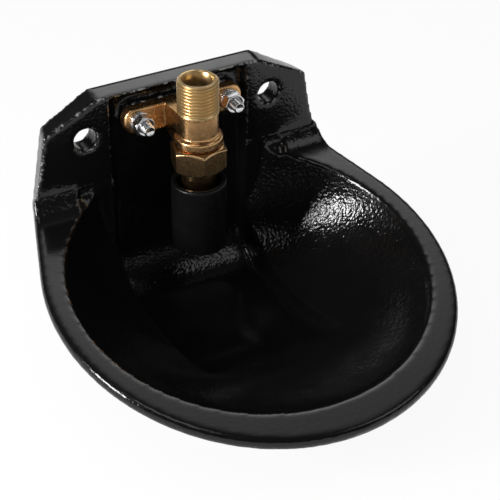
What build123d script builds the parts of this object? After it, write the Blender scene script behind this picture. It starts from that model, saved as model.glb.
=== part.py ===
"""Cast-iron livestock drinking bowl with a brass pipe valve.

The animal pushes the black pipe that hangs in the bowl. The pipe's hanger rocks on the edge of its
plate inside the spout, lifts the spring-loaded poppet off its seat and lets water run down the pipe.

Frame: origin midway between the two wall bolts, on the wall's face. +Z is up, +X is the animal's
right-hand side of the plate, and -Y points out of the wall. Lengths are in millimetres.
"""
import os
from math import acos, atan2, cos, hypot, radians, sin, tan

from build123d import *

# ---------------------------------------------------------------- driving dimensions
# Wall plate
plate_thickness = 12.0        # pads to wall
plate_top_half_width = 45.0
plate_top_z = 22.5
plate_corner_half_width = 71.5
plate_corner_z = 7.0
plate_hip_half_width = 78.5   # where the plate meets the rim
plate_top_slope = 1.8         # the top face falls towards the front by this
plate_flare = 2.5             # the flanks stand wider at the front by this
wall_bolt_spacing = 104.0
wall_bolt_hole_r = 6.25
wall_bolt_boss_r = 12.0
iron_wall = 5.0
pad_wall = 6.0
dish_depth = 45.5             # rim centre to the dish floor, straight down

# Recess behind the valve and the trough below it
recess_half_width = 38.0
recess_depth = 5.0
recess_top_z = 19.0
recess_mouth_chamfer = 1.5
trough_drop = 5.5             # trough floor below the dish floor
trough_level_front_y = -66.0
trough_front_y = -118.0
trough_front_z = -78.0
trough_back_r = 26.0          # bend between the recess and the trough's floor
trough_corner_r = 4.0         # inside corners of the trough

# Rim
rim_centre_y = -86.7
rim_centre_z = -48.3
rim_tilt = 11.0               # the rim falls towards the front
rim_side_radius = 101.5
rim_front_radius = 107.6
rim_thickness = 7.0
rim_edge_fillet = 2.5
dish_radius = 90.0

# Blends between the pads and the rim
leaf_fillet = 7.0
shoulder_fillet = 17.0
shoulder_half_width = 59.0
shoulder_foot_half_width = 88.0
web_root = 2.0                # how far the blends are rooted in the plate and rim

# Hollows in the plate's back, one at each side of the recess
pocket_top_rise = 6.0
pocket_top_spread = 8.0
pocket_side_drop = 3.0
pocket_hip_inset = 2.0
pocket_bottom_z = -30.0

# Lower wall flange
flange_thickness = 7.0
flange_waist_half_width = 74.0
flange_waist_z = -64.0
flange_foot_half_width = 46.0
flange_foot_z = -97.0

# Valve body
valve_axis_y = -32.0
inlet_thread_r = 10.478       # G 1/2
inlet_thread_length = 18.0
inlet_top_z = 31.0
inlet_lead_chamfer = 1.0
inlet_bore_r = 7.85
barrel_r = 10.2
collar_r = 12.3
collar_top_z = 0.6
collar_bottom_z = -4.4
collar_edge_bevel = 0.9
collar_bevel_angle = 45.0
spigot_r = 10.9
spigot_bottom_z = -12.6
chamber_r = 8.9
chamber_top_z = -3.0

# Valve ears and their bolts
ear_thickness = 6.0
ear_height = 16.0
ear_bolt_spacing = 50.0
ear_z = 6.5
ear_front_y = -17.0
bracket_half_width = 11.0
m6_r = 3.0
m6_clearance_r = 3.3
m6_nut_flats = 10.0
m6_nut_height = 5.0
m6_head_height = 4.0
m6_bolt_length = 25.0
head_pocket_depth = 4.2
head_pocket_clearance = 0.2
ear_edge_fillet = 1.5
flat_washer_thickness = 1.0
flat_washer_r = 5.5
spring_washer_thickness = 1.5
spring_washer_r = 5.6

# Union nut and spout
union_nut_flats = 26.0
union_nut_turn = 15.4         # a corner stands this far left of the front
half_hexagon_step = 30.0
union_nut_top_z = -5.2
union_nut_height = 13.0
union_nut_web = 2.2
spout_r = 8.75
spout_bore_r = 5.6
spout_flange_r = 10.6
spout_flange_thickness = 2.4
spout_bottom_z = -30.0
spout_end_bevel = 0.6
rocker_seat_r = 8.4
rocker_seat_depth = 1.4
gasket_thickness = 1.0

# Hanging pipe
pipe_r = 14.3
pipe_wall = 3.0
pipe_top_z = -26.4
pipe_bottom_z = -65.0
pipe_edge_bevel = 0.6
notch_width = 8.0
notch_height = 4.5
notch_turn = 46.0             # the notch stands this far left of the front
bridge_top_z = -40.0
bridge_width = 9.0
bridge_thickness = 4.0

# Hanger
rocker_plate_r = 7.8
rocker_plate_thickness = 1.8
rocker_washer_thickness = 0.8
rocker_washer_bore_r = 6.0
hanger_rod_r = 3.0
hanger_thread_r = 2.5
hanger_nut_flats = 8.0
hanger_nut_height = 4.0
hanger_washer_thickness = 1.0
hanger_washer_r = 5.0
hanger_thread_end = 2.0       # thread past the nut
water_hole_r = 0.8
water_hole_circle_r = 4.5

# Poppet train
seat_ring_thickness = 4.0
seat_bore_r = 4.0
seat_lip_height = 0.6
seat_lip_width = 0.8
seat_seal_wire_r = 0.75
poppet_r = 6.2
poppet_thickness = 1.6
poppet_boss_r = 2.6
poppet_boss_height = 3.0
poppet_washer_thickness = 2.0
poppet_pin_r = 1.75
poppet_nut_flats = 5.5
poppet_nut_height = 1.6
poppet_washer_r = 6.0
poppet_tip_bevel = 0.6
poppet_gap = 0.3              # pin tip above the rocker plate, with the valve shut
spring_wire_r = 0.4
spring_coil_r = 4.3
spring_turns = 5
retainer_thickness = 1.5
retainer_ring_width = 1.3
retainer_spring_ring_r = 5.2
retainer_bore_r = 3.4
retainer_spoke_width = 2.0
retaining_ring_z = 12.4
retaining_ring_thickness = 1.0
retaining_ring_width = 1.4
retaining_ring_gap = 3.0
retaining_groove_depth = 0.6
lug_r = 1.3
lug_hole_r = 0.55
lug_circle_r = 6.6
lug_spread = 40.0
strainer_thickness = 0.5
strainer_dome_height = 4.0
strainer_dome_r = 8.2
strainer_hole_r = 0.6
strainer_hole_pitch = 1.9

# Details shared by the fasteners
nut_bevel_angle = 30.0
nut_face_share = 0.95         # the round face of a nut, as a share of its flats
thread_end_bevel = 0.7
slit_width = 1.0              # gap in a spring washer

# Clearances
sliding_clearance = 0.05
thread_clearance = 0.1
washer_clearance = 0.2
running_gap = 0.3

# ---------------------------------------------------------------- worked-out places
pocket_corners = [
    (recess_half_width + iron_wall, plate_corner_z + pocket_top_rise),
    (plate_top_half_width + pocket_top_spread, plate_corner_z + pocket_top_rise),
    (plate_corner_half_width - iron_wall, plate_corner_z - pocket_side_drop),
    (plate_hip_half_width - iron_wall - pocket_hip_inset, pocket_bottom_z),
    (recess_half_width + iron_wall, pocket_bottom_z),
]
pad_y = -plate_thickness
recess_y = pad_y + recess_depth
ear_back_y = ear_front_y + ear_thickness
rim_plane = Plane(origin=(0, rim_centre_y, rim_centre_z), x_dir=(1, 0, 0),
                  z_dir=(0, -sin(radians(rim_tilt)), cos(radians(rim_tilt))))
rim_z_at_pads = rim_centre_z + (pad_y - rim_centre_y) * tan(radians(rim_tilt))
# The rim's straight sides run from the plate's flanks to touch the ellipse
wall_v = -rim_centre_y / cos(radians(rim_tilt))
hip_across = plate_hip_half_width / rim_side_radius
hip_along = wall_v / rim_front_radius
shoulder_angle = atan2(hip_along, hip_across) - acos(1 / hypot(hip_along, hip_across))
shoulder_u = rim_side_radius * cos(shoulder_angle)
shoulder_v = rim_front_radius * sin(shoulder_angle)
valve_axis = Plane(origin=(0, valve_axis_y, 0), x_dir=(1, 0, 0), z_dir=(0, 0, 1))
spout_flange_top_z = spigot_bottom_z - gasket_thickness
spout_flange_bottom_z = spout_flange_top_z - spout_flange_thickness
rocker_seat_z = spout_flange_top_z - rocker_seat_depth
plate_bottom_z = rocker_seat_z + rocker_washer_thickness
seat_top_z = chamber_top_z - sliding_clearance
poppet_washer_z = seat_top_z + seat_lip_height + sliding_clearance
poppet_disc_z = poppet_washer_z + poppet_washer_thickness
pin_tip_z = plate_bottom_z + rocker_plate_thickness + poppet_gap
retainer_bottom_z = retaining_ring_z - sliding_clearance - retainer_thickness
strainer_z = retaining_ring_z + retaining_ring_thickness + sliding_clearance
bridge_bottom_z = bridge_top_z - bridge_thickness
hanger_nut_top_z = bridge_bottom_z - hanger_washer_thickness
hanger_end_z = hanger_nut_top_z - hanger_nut_height - hanger_thread_end
flat_washer_back = -ear_front_y
spring_washer_back = flat_washer_back + flat_washer_thickness
valve_nut_back = spring_washer_back + spring_washer_thickness
ear_points = [(-ear_bolt_spacing / 2, ear_z), (ear_bolt_spacing / 2, ear_z)]
wall_bolt_points = [(-wall_bolt_spacing / 2, 0), (wall_bolt_spacing / 2, 0)]
front_view = Plane(origin=(0, 0, 0), x_dir=(1, 0, 0), z_dir=(0, -1, 0))
valve_section = front_view.offset(-valve_axis_y)
valve_line = Axis((0, valve_axis_y, 0), (0, 0, 1))


def at_height(z):
    """Horizontal sketch plane on the valve's axis."""
    return valve_axis.offset(z)


def in_front(distance):
    """Upright sketch plane that looks at the plate, this far out of the wall."""
    return front_view.offset(distance)


def washer(plane, outer_r, inner_r, thickness):
    """Flat ring that stands on a plane."""
    with BuildPart() as ring:
        with BuildSketch(plane):
            Circle(outer_r)
            Circle(inner_r, mode=Mode.SUBTRACT)
        extrude(amount=thickness)
    return ring.part


def hex_nut(flats, height, bore_r, turn=0.0):
    """Hexagon nut that stands on the ground plane, its corners bevelled at both ends."""
    corner_r = flats / 2 / cos(radians(30))
    face_r = flats / 2 * nut_face_share
    drop = (corner_r - face_r) * tan(radians(nut_bevel_angle))
    with BuildPart() as nut:
        with BuildSketch(Plane.XY):
            RegularPolygon(flats / 2, 6, major_radius=False, rotation=turn)
            Circle(bore_r, mode=Mode.SUBTRACT)
        extrude(amount=height)
        with BuildSketch(Plane.XZ):
            Polygon((0, 0), (face_r, 0), (corner_r, drop), (corner_r, height - drop), (face_r, height),
                    (0, height), align=None)
        revolve(axis=Axis.Z, mode=Mode.INTERSECT)
    return nut.part


def finish(piece, name):
    """Name a finished piece and write it."""
    piece.part.label = name
    export_step(piece.part, f"parts/{name}.step")


os.makedirs("parts", exist_ok=True)

# ---------------------------------------------------------------- bowl casting
# Level sections of the dish, from above the rim down to its floor. Each has its depth under the
# rim's centre, its radius, its shift towards the wall, its tilt, and the steepness of the wall.
dish_sections = [
    (-9.0, dish_radius + 1.5, -1.7, rim_tilt, 80.0),
    (0.0, dish_radius, 0.0, rim_tilt, 70.0),
    (dish_depth * 0.32, dish_radius * 0.88, 8.7, rim_tilt * 0.55, 50.0),
    (dish_depth * 0.67, dish_radius * 0.665, 18.7, 0.0, 28.0),
    (dish_depth * 0.9, dish_radius * 0.42, 25.0, 0.0, 14.0),
    (dish_depth, dish_radius * 0.18, 27.0, 0.0, 4.0),
]
trough_floor_z = rim_centre_z - dish_depth - trough_drop


def section_plane(depth, set_back, tilt):
    """Plane of one dish section, tilted down towards the front."""
    return Plane(origin=(0, rim_centre_y + set_back, rim_centre_z - depth), x_dir=(1, 0, 0),
                 z_dir=(0, -sin(radians(tilt)), cos(radians(tilt))))


def trough_side(grow):
    """Side view of the trough, grown outwards by a wall: back, bend, floor and rising front."""
    back_y = recess_y + grow
    floor_z = trough_floor_z - grow
    bend_r = trough_back_r + grow
    with BuildSketch(Plane.YZ) as side_view:
        with BuildLine():
            down = Line((back_y, recess_top_z - grow), (back_y, floor_z + bend_r))
            bend = JernArc(down @ 1, (0, -1), bend_r, -90)
            level = Line(bend @ 1, (trough_level_front_y, floor_z))
            rise = TangentArc(level @ 1, (trough_front_y, trough_front_z - grow), tangent=(-1, 0))
            Polyline(rise @ 1, (trough_front_y, rim_centre_z), (pad_y, rim_z_at_pads),
                     (pad_y, recess_top_z - grow), down @ 0)
        make_face()
    return side_view.sketch


def corner_web(radius):
    """Concave web, in side view, between the pads and the rim's flat."""
    reach = radius / tan(radians(90 + rim_tilt) / 2)
    high = (pad_y, rim_z_at_pads + reach)
    low = (pad_y - reach * cos(radians(rim_tilt)), rim_z_at_pads - reach * sin(radians(rim_tilt)))
    with BuildSketch(Plane.YZ) as side_view:
        with BuildLine():
            Polyline(low, (pad_y + web_root, rim_z_at_pads - web_root), high)
            RadiusArc(high, low, radius)
        make_face()
    return side_view.sketch


def floor_edges(trough):
    """Long edges down the back of the trough and along its floor."""
    side_faces = trough.faces().sort_by(Axis.X)
    side_edges = side_faces[0].edges() + side_faces[-1].edges()
    return side_edges.filter_by(lambda edge: edge.center().Z < rim_centre_z and edge.center().Y > trough_front_y)


def recess_mouth(grow):
    """Outline of the recess's mouth above the leaf blends, grown by a bevel."""
    with BuildSketch(Plane.XY) as mouth:
        Polygon((-recess_half_width - grow, rim_z_at_pads + leaf_fillet),
                (recess_half_width + grow, rim_z_at_pads + leaf_fillet),
                (recess_half_width + grow, recess_top_z + grow),
                (-recess_half_width - grow, recess_top_z + grow), align=None)
    return mouth.sketch


plate_outline = [
    (-plate_top_half_width, plate_top_z), (plate_top_half_width, plate_top_z),
    (plate_corner_half_width, plate_corner_z), (plate_hip_half_width, rim_z_at_pads),
    (-plate_hip_half_width, rim_z_at_pads), (-plate_corner_half_width, plate_corner_z),
]


def plate_front(point):
    """Where a corner of the plate's outline stands on its front face."""
    x, z = point
    if z == plate_top_z:
        return (x, z - plate_top_slope)
    return (x + (plate_flare if x > 0 else -plate_flare), z)


with BuildPart() as dish_hollow:
    for depth, radius, set_back, tilt, slope in dish_sections:
        with BuildSketch(section_plane(depth, set_back, tilt)):
            Circle(radius)
    loft()
    split(bisect_by=Plane.XZ.offset(-pad_y), keep=Keep.TOP)

with BuildPart() as dish_shell:
    for depth, radius, set_back, tilt, slope in dish_sections[1:]:
        outward = iron_wall * sin(radians(slope))
        downward = iron_wall * cos(radians(slope))
        with BuildSketch(section_plane(depth + downward, set_back, tilt)):
            Circle(radius + outward)
    loft()

with BuildPart() as rim_lip:
    with BuildSketch(rim_plane) as rim_outline:
        Ellipse(rim_side_radius, rim_front_radius)
        # Behind the ellipse the rim runs straight to the plate's flanks
        Polygon((-shoulder_u, shoulder_v), (shoulder_u, shoulder_v), (plate_hip_half_width, wall_v),
                (-plate_hip_half_width, wall_v), align=None)
    extrude(amount=-rim_thickness)
    flat_faces = rim_lip.faces().filter_by(rim_plane)
    fillet(flat_faces.edges().filter_by(lambda edge: edge.center().Y < -rim_thickness), rim_edge_fillet)

with BuildPart() as wall_plate:
    with BuildSketch(in_front(0)):
        Polygon(*plate_outline, align=None)
    with BuildSketch(in_front(plate_thickness)):
        Polygon(*[plate_front(point) for point in plate_outline], align=None)
    loft(ruled=True)

with BuildPart() as lower_flange:
    with BuildSketch(in_front(0)):
        Polygon((-plate_hip_half_width, rim_z_at_pads), (plate_hip_half_width, rim_z_at_pads),
                (flange_waist_half_width, flange_waist_z), (flange_foot_half_width, flange_foot_z),
                (-flange_foot_half_width, flange_foot_z), (-flange_waist_half_width, flange_waist_z),
                align=None)
    extrude(amount=flange_thickness)

with BuildPart() as trough_walls:
    extrude(trough_side(iron_wall), amount=recess_half_width + iron_wall, both=True)
    fillet(floor_edges(trough_walls), trough_corner_r + iron_wall)

with BuildPart() as trough_hollow:
    extrude(trough_side(0), amount=recess_half_width, both=True)
    fillet(floor_edges(trough_hollow), trough_corner_r)

with BuildPart() as shoulders:
    for side in (-1, 1):
        web = corner_web(shoulder_fillet).moved(Location((side * shoulder_half_width, 0, 0)))
        extrude(web, amount=rim_side_radius - shoulder_half_width, dir=(side, 0, 0))
    # They end flush with the rim's outline and with the plate's flanks
    extrude(rim_outline.sketch, amount=rim_side_radius, both=True, mode=Mode.INTERSECT)
    with BuildSketch(front_view):
        Polygon((-plate_corner_half_width - plate_flare, plate_corner_z),
                (plate_corner_half_width + plate_flare, plate_corner_z),
                (shoulder_foot_half_width, rim_z_at_pads - shoulder_fillet),
                (-shoulder_foot_half_width, rim_z_at_pads - shoulder_fillet), align=None)
    extrude(amount=-rim_centre_y, mode=Mode.INTERSECT)

with BuildPart() as bowl_casting:
    add(dish_shell)
    add(rim_lip)
    add(wall_plate)
    add(lower_flange)
    add(trough_walls)
    # Small blend beside the recess, and the larger shoulders outside it
    extrude(corner_web(leaf_fillet), amount=shoulder_half_width, both=True)
    add(shoulders)
    split(bisect_by=Plane.XZ, keep=Keep.TOP)
    # Dish, recess and trough
    add(dish_hollow, mode=Mode.SUBTRACT)
    add(trough_hollow, mode=Mode.SUBTRACT)
    # Bevel round the recess's mouth
    with BuildSketch(in_front(plate_thickness)):
        add(recess_mouth(recess_mouth_chamfer))
    with BuildSketch(in_front(plate_thickness - recess_mouth_chamfer)):
        add(recess_mouth(0))
    loft(mode=Mode.SUBTRACT)
    # Raised seat for the valve's flange
    with BuildSketch(in_front(-recess_y)):
        with Locations((0, ear_z)):
            SlotCenterToCenter(ear_bolt_spacing, ear_height - 2)
    extrude(amount=recess_y - ear_back_y)
    # Pockets behind the pads, with a boss left round each wall bolt
    for side in (-1, 1):
        with BuildSketch(in_front(0)):
            with BuildLine():
                Polyline(*[(side * x, z) for x, z in pocket_corners], close=True)
            make_face()
            with Locations(wall_bolt_points[(side + 1) // 2]):
                Circle(wall_bolt_boss_r, mode=Mode.SUBTRACT)
        extrude(amount=plate_thickness - pad_wall, mode=Mode.SUBTRACT)
    # Wall bolts, valve bolts and the pockets that hold the valve bolts' heads
    with BuildSketch(in_front(0)):
        with Locations(wall_bolt_points):
            Circle(wall_bolt_hole_r)
        with Locations(ear_points):
            Circle(m6_clearance_r)
    extrude(amount=plate_thickness + plate_flare, mode=Mode.SUBTRACT)
    with BuildSketch(in_front(0)):
        with Locations(ear_points):
            RegularPolygon(m6_nut_flats / 2 + head_pocket_clearance, 6, major_radius=False)
    extrude(amount=head_pocket_depth, mode=Mode.SUBTRACT)
finish(bowl_casting, "bowl_casting")

# ---------------------------------------------------------------- valve body
with BuildPart() as valve_body:
    # Flange with its two ears
    with BuildSketch(in_front(-ear_back_y)):
        with Locations((0, ear_z)):
            SlotCenterToCenter(ear_bolt_spacing, ear_height)
    extrude(amount=ear_thickness)
    fillet(valve_body.faces().sort_by(Axis.Y)[0].edges(), ear_edge_fillet)
    # Bracket from the flange to the barrel
    bracket_top = ear_z + ear_height / 2 - ear_edge_fillet
    with BuildSketch(Plane.XY.offset(collar_bottom_z)):
        Polygon((-bracket_half_width, ear_front_y + ear_edge_fillet),
                (bracket_half_width, ear_front_y + ear_edge_fillet),
                (barrel_r, valve_axis_y), (-barrel_r, valve_axis_y), align=None)
    extrude(amount=bracket_top - collar_bottom_z)
    # The bracket's underside slopes down from the flange to the collar
    with BuildSketch(Plane.YZ):
        Polygon((ear_back_y, collar_bottom_z - 1), (ear_back_y, ear_z - ear_height / 2),
                (ear_front_y, ear_z - ear_height / 2),
                (valve_axis_y + collar_r * 0.6, collar_bottom_z),
                (valve_axis_y + collar_r * 0.6, collar_bottom_z - 1), align=None)
    extrude(amount=bracket_half_width + 1, both=True, mode=Mode.SUBTRACT)
    # Barrel, thread, collar and spigot
    with BuildSketch(at_height(0)):
        Circle(barrel_r)
    extrude(amount=inlet_top_z - inlet_thread_length)
    with BuildSketch(at_height(inlet_top_z - inlet_thread_length)):
        Circle(inlet_thread_r)
    extrude(amount=inlet_thread_length)
    chamfer(valve_body.faces().sort_by(Axis.Z)[-1].edges(), inlet_lead_chamfer)
    with BuildSketch(at_height(collar_bottom_z)):
        Circle(collar_r)
    extrude(amount=collar_top_z - collar_edge_bevel - collar_bottom_z)
    with BuildSketch(at_height(collar_top_z - collar_edge_bevel)):
        Circle(collar_r)
    extrude(amount=collar_edge_bevel, taper=collar_bevel_angle)
    with BuildSketch(at_height(spigot_bottom_z)):
        Circle(spigot_r)
    extrude(amount=collar_bottom_z - spigot_bottom_z)
    # Bores
    with BuildSketch(at_height(inlet_top_z)):
        Circle(inlet_bore_r)
    extrude(amount=spigot_bottom_z - inlet_top_z, mode=Mode.SUBTRACT)
    with BuildSketch(at_height(spigot_bottom_z)):
        Circle(chamber_r)
    extrude(amount=chamber_top_z - spigot_bottom_z, mode=Mode.SUBTRACT)
    with BuildSketch(at_height(retaining_ring_z - sliding_clearance)):
        Circle(inlet_bore_r + retaining_groove_depth)
    extrude(amount=retaining_ring_thickness + 2 * sliding_clearance, mode=Mode.SUBTRACT)
    with BuildSketch(in_front(-ear_back_y)):
        with Locations(ear_points):
            Circle(m6_clearance_r)
    extrude(amount=ear_thickness, mode=Mode.SUBTRACT)
finish(valve_body, "valve_body")

# ---------------------------------------------------------------- strainer and its ring
with BuildPart() as inlet_strainer:
    with BuildSketch(valve_section):
        with Locations((0, strainer_z + strainer_dome_height - strainer_dome_r)):
            Circle(strainer_dome_r)
            Circle(strainer_dome_r - strainer_thickness, mode=Mode.SUBTRACT)
        with Locations((0, strainer_z)):
            Rectangle(strainer_dome_r, strainer_dome_r, align=(Align.MIN, Align.MIN), mode=Mode.INTERSECT)
        rim_inner_r = inlet_bore_r - sliding_clearance - retainer_ring_width
        with Locations((rim_inner_r, strainer_z)):
            Rectangle(retainer_ring_width, strainer_thickness, align=(Align.MIN, Align.MIN))
    revolve(axis=valve_line)
    with BuildSketch(at_height(strainer_z)):
        Circle(strainer_hole_r)
        with PolarLocations(strainer_hole_pitch, 6):
            Circle(strainer_hole_r)
        with PolarLocations(2 * strainer_hole_pitch, 12):
            Circle(strainer_hole_r)
    extrude(amount=strainer_dome_height, mode=Mode.SUBTRACT)
finish(inlet_strainer, "inlet_strainer")

with BuildPart() as retaining_ring:
    with BuildSketch(at_height(retaining_ring_z)):
        Circle(inlet_bore_r + retaining_groove_depth - sliding_clearance)
        Circle(inlet_bore_r + retaining_groove_depth - retaining_ring_width, mode=Mode.SUBTRACT)
        with PolarLocations(lug_circle_r, 2, start_angle=90 - lug_spread / 2, angular_range=lug_spread,
                            endpoint=True):
            Circle(lug_r)
            Circle(lug_hole_r, mode=Mode.SUBTRACT)
        with Locations((0, inlet_bore_r)):
            Rectangle(retaining_ring_gap, 4 * lug_r, mode=Mode.SUBTRACT)
    extrude(amount=retaining_ring_thickness)
finish(retaining_ring, "retaining_ring")

# ---------------------------------------------------------------- spring and its retainer
with BuildPart() as spring_retainer:
    outer_ring_r = inlet_bore_r - sliding_clearance
    with BuildSketch(at_height(retainer_bottom_z)):
        Circle(outer_ring_r)
        Circle(outer_ring_r - retainer_ring_width, mode=Mode.SUBTRACT)
        Circle(retainer_spring_ring_r)
        with PolarLocations((outer_ring_r + retainer_bore_r) / 2, 3):
            Rectangle(outer_ring_r - retainer_bore_r - retainer_ring_width, retainer_spoke_width)
        Circle(retainer_bore_r, mode=Mode.SUBTRACT)
    extrude(amount=retainer_thickness)
finish(spring_retainer, "spring_retainer")

with BuildPart() as return_spring:
    coil_bottom_z = poppet_disc_z + poppet_thickness + spring_wire_r
    coil_height = retainer_bottom_z - spring_wire_r - coil_bottom_z
    with BuildLine(at_height(coil_bottom_z)) as coil:
        Helix(pitch=coil_height / spring_turns, height=coil_height, radius=spring_coil_r)
    with BuildSketch(Plane(origin=coil.line @ 0, z_dir=coil.line % 0)):
        Circle(spring_wire_r)
    sweep(path=coil.line, is_frenet=True)
finish(return_spring, "return_spring")

# ---------------------------------------------------------------- poppet and its seat
with BuildPart() as poppet:
    with BuildSketch(at_height(poppet_disc_z)):
        Circle(poppet_r)
    extrude(amount=poppet_thickness)
    with BuildSketch(at_height(poppet_disc_z + poppet_thickness)):
        Circle(poppet_boss_r)
    extrude(amount=poppet_boss_height)
    with BuildSketch(at_height(pin_tip_z)):
        Circle(poppet_pin_r)
    extrude(amount=poppet_disc_z - pin_tip_z)
    chamfer(poppet.faces().sort_by(Axis.Z)[0].edges(), poppet_tip_bevel)
finish(poppet, "poppet")

with BuildPart() as poppet_washer:
    add(washer(at_height(poppet_washer_z), poppet_washer_r, poppet_pin_r + sliding_clearance,
               poppet_washer_thickness))
finish(poppet_washer, "poppet_washer")

with BuildPart() as poppet_nut:
    with Locations((0, valve_axis_y, poppet_washer_z - poppet_nut_height)):
        add(hex_nut(poppet_nut_flats, poppet_nut_height, poppet_pin_r + sliding_clearance))
finish(poppet_nut, "poppet_nut")

seat_ring_r = chamber_r - sliding_clearance
seal_centre_r = seat_ring_r - seat_seal_wire_r
seal_z = seat_top_z - seat_ring_thickness / 2

with BuildPart() as seat_ring:
    add(washer(at_height(seat_top_z - seat_ring_thickness), seat_ring_r, seat_bore_r, seat_ring_thickness))
    add(washer(at_height(seat_top_z), seat_bore_r + seat_lip_width, seat_bore_r, seat_lip_height))
    # Groove for the seal
    groove_half = seat_seal_wire_r + sliding_clearance
    add(washer(at_height(seal_z - groove_half), chamber_r, seal_centre_r - groove_half, 2 * groove_half),
        mode=Mode.SUBTRACT)
finish(seat_ring, "seat_ring")

with BuildPart() as seat_seal:
    with BuildSketch(valve_section):
        with Locations((seal_centre_r, seal_z)):
            Circle(seat_seal_wire_r)
    revolve(axis=valve_line)
finish(seat_seal, "seat_seal")

# ---------------------------------------------------------------- spout under the valve
with BuildPart() as union_nut:
    with Locations((0, valve_axis_y, union_nut_top_z - union_nut_height)):
        add(hex_nut(union_nut_flats, union_nut_height, spout_r + thread_clearance,
                    -half_hexagon_step - union_nut_turn))
    with BuildSketch(at_height(union_nut_top_z)):
        Circle(spigot_r + thread_clearance)
    extrude(amount=union_nut_web - union_nut_height, mode=Mode.SUBTRACT)
finish(union_nut, "union_nut")

with BuildPart() as spout_gasket:
    add(washer(at_height(spout_flange_top_z), spout_flange_r, chamber_r, gasket_thickness))
finish(spout_gasket, "spout_gasket")

with BuildPart() as outlet_spout:
    with BuildSketch(at_height(spout_bottom_z)):
        Circle(spout_r)
    extrude(amount=spout_flange_bottom_z - spout_bottom_z)
    chamfer(outlet_spout.faces().sort_by(Axis.Z)[0].edges(), spout_end_bevel)
    with BuildSketch(at_height(spout_flange_bottom_z)):
        Circle(spout_flange_r)
    extrude(amount=spout_flange_thickness)
    with BuildSketch(at_height(spout_bottom_z)):
        Circle(spout_bore_r)
    extrude(amount=spout_flange_top_z - spout_bottom_z, mode=Mode.SUBTRACT)
    # Shoulder that the rocking plate rests on
    with BuildSketch(at_height(rocker_seat_z)):
        Circle(rocker_seat_r)
    extrude(amount=rocker_seat_depth, mode=Mode.SUBTRACT)
finish(outlet_spout, "outlet_spout")

with BuildPart() as rocker_washer:
    add(washer(at_height(rocker_seat_z), rocker_seat_r - running_gap, rocker_washer_bore_r,
               rocker_washer_thickness))
finish(rocker_washer, "rocker_washer")

# ---------------------------------------------------------------- hanger and pipe
with BuildPart() as pipe_hanger:
    with BuildSketch(at_height(hanger_end_z)):
        Circle(hanger_thread_r)
    extrude(amount=bridge_top_z - hanger_end_z)
    chamfer(pipe_hanger.faces().sort_by(Axis.Z)[0].edges(), thread_end_bevel)
    with BuildSketch(at_height(bridge_top_z)):
        Circle(hanger_rod_r)
    extrude(amount=plate_bottom_z - bridge_top_z)
    with BuildSketch(at_height(plate_bottom_z)):
        Circle(rocker_plate_r)
        with PolarLocations(water_hole_circle_r, 4):
            Circle(water_hole_r, mode=Mode.SUBTRACT)
    extrude(amount=rocker_plate_thickness)
finish(pipe_hanger, "pipe_hanger")

with BuildPart() as drinking_pipe:
    add(washer(at_height(pipe_bottom_z), pipe_r, pipe_r - pipe_wall, pipe_top_z - pipe_bottom_z))
    chamfer(drinking_pipe.edges().filter_by(GeomType.CIRCLE), pipe_edge_bevel)
    # An arched notch in the lower edge, and its twin on the far side
    notch_angle = radians(-90 - notch_turn)
    notch_plane = Plane(origin=(0, valve_axis_y, pipe_bottom_z),
                        x_dir=(-sin(notch_angle), cos(notch_angle), 0),
                        z_dir=(cos(notch_angle), sin(notch_angle), 0))
    with BuildSketch(notch_plane):
        arch_centre = notch_height - notch_width / 2
        Rectangle(notch_width, 2 * arch_centre)
        with Locations((0, arch_centre)):
            Circle(notch_width / 2)
    extrude(amount=pipe_r, both=True, mode=Mode.SUBTRACT)
finish(drinking_pipe, "drinking_pipe")

with BuildPart() as pipe_bridge:
    with BuildSketch(at_height(bridge_bottom_z)):
        Circle(pipe_r - pipe_wall - sliding_clearance)
        Rectangle(2 * pipe_r, bridge_width, mode=Mode.INTERSECT)
        Circle(hanger_thread_r + sliding_clearance, mode=Mode.SUBTRACT)
    extrude(amount=bridge_thickness)
finish(pipe_bridge, "pipe_bridge")

with BuildPart() as hanger_washer:
    add(washer(at_height(hanger_nut_top_z), hanger_washer_r, hanger_thread_r + washer_clearance,
               hanger_washer_thickness))
finish(hanger_washer, "hanger_washer")

with BuildPart() as hanger_nut:
    with Locations((0, valve_axis_y, hanger_nut_top_z - hanger_nut_height)):
        add(hex_nut(hanger_nut_flats, hanger_nut_height, hanger_thread_r + sliding_clearance))
finish(hanger_nut, "hanger_nut")

# ---------------------------------------------------------------- valve bolts
head_front = head_pocket_depth
with BuildPart() as valve_bolts:
    with BuildSketch(in_front(head_front)):
        with Locations(ear_points):
            Circle(m6_r)
    extrude(amount=m6_bolt_length)
    chamfer(valve_bolts.faces().group_by(Axis.Y)[0].edges(), thread_end_bevel)
    with BuildSketch(in_front(head_front - m6_head_height)):
        with Locations(ear_points):
            RegularPolygon(m6_nut_flats / 2, 6, major_radius=False)
    extrude(amount=m6_head_height)
finish(valve_bolts, "valve_bolts")

with BuildPart(in_front(valve_nut_back)) as valve_nuts:
    with Locations(*ear_points):
        add(hex_nut(m6_nut_flats, m6_nut_height, m6_r + sliding_clearance))
finish(valve_nuts, "valve_nuts")

with BuildPart() as spring_washers:
    with BuildSketch(in_front(spring_washer_back)):
        with Locations(ear_points):
            Circle(spring_washer_r)
            Circle(m6_r + washer_clearance, mode=Mode.SUBTRACT)
            with Locations((spring_washer_r, 0)):
                Rectangle(2 * spring_washer_r, slit_width, mode=Mode.SUBTRACT)
    extrude(amount=spring_washer_thickness)
finish(spring_washers, "spring_washers")

with BuildPart() as flat_washers:
    with BuildSketch(in_front(flat_washer_back)):
        with Locations(ear_points):
            Circle(flat_washer_r)
            Circle(m6_r + washer_clearance, mode=Mode.SUBTRACT)
    extrude(amount=flat_washer_thickness)
finish(flat_washers, "flat_washers")
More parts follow.
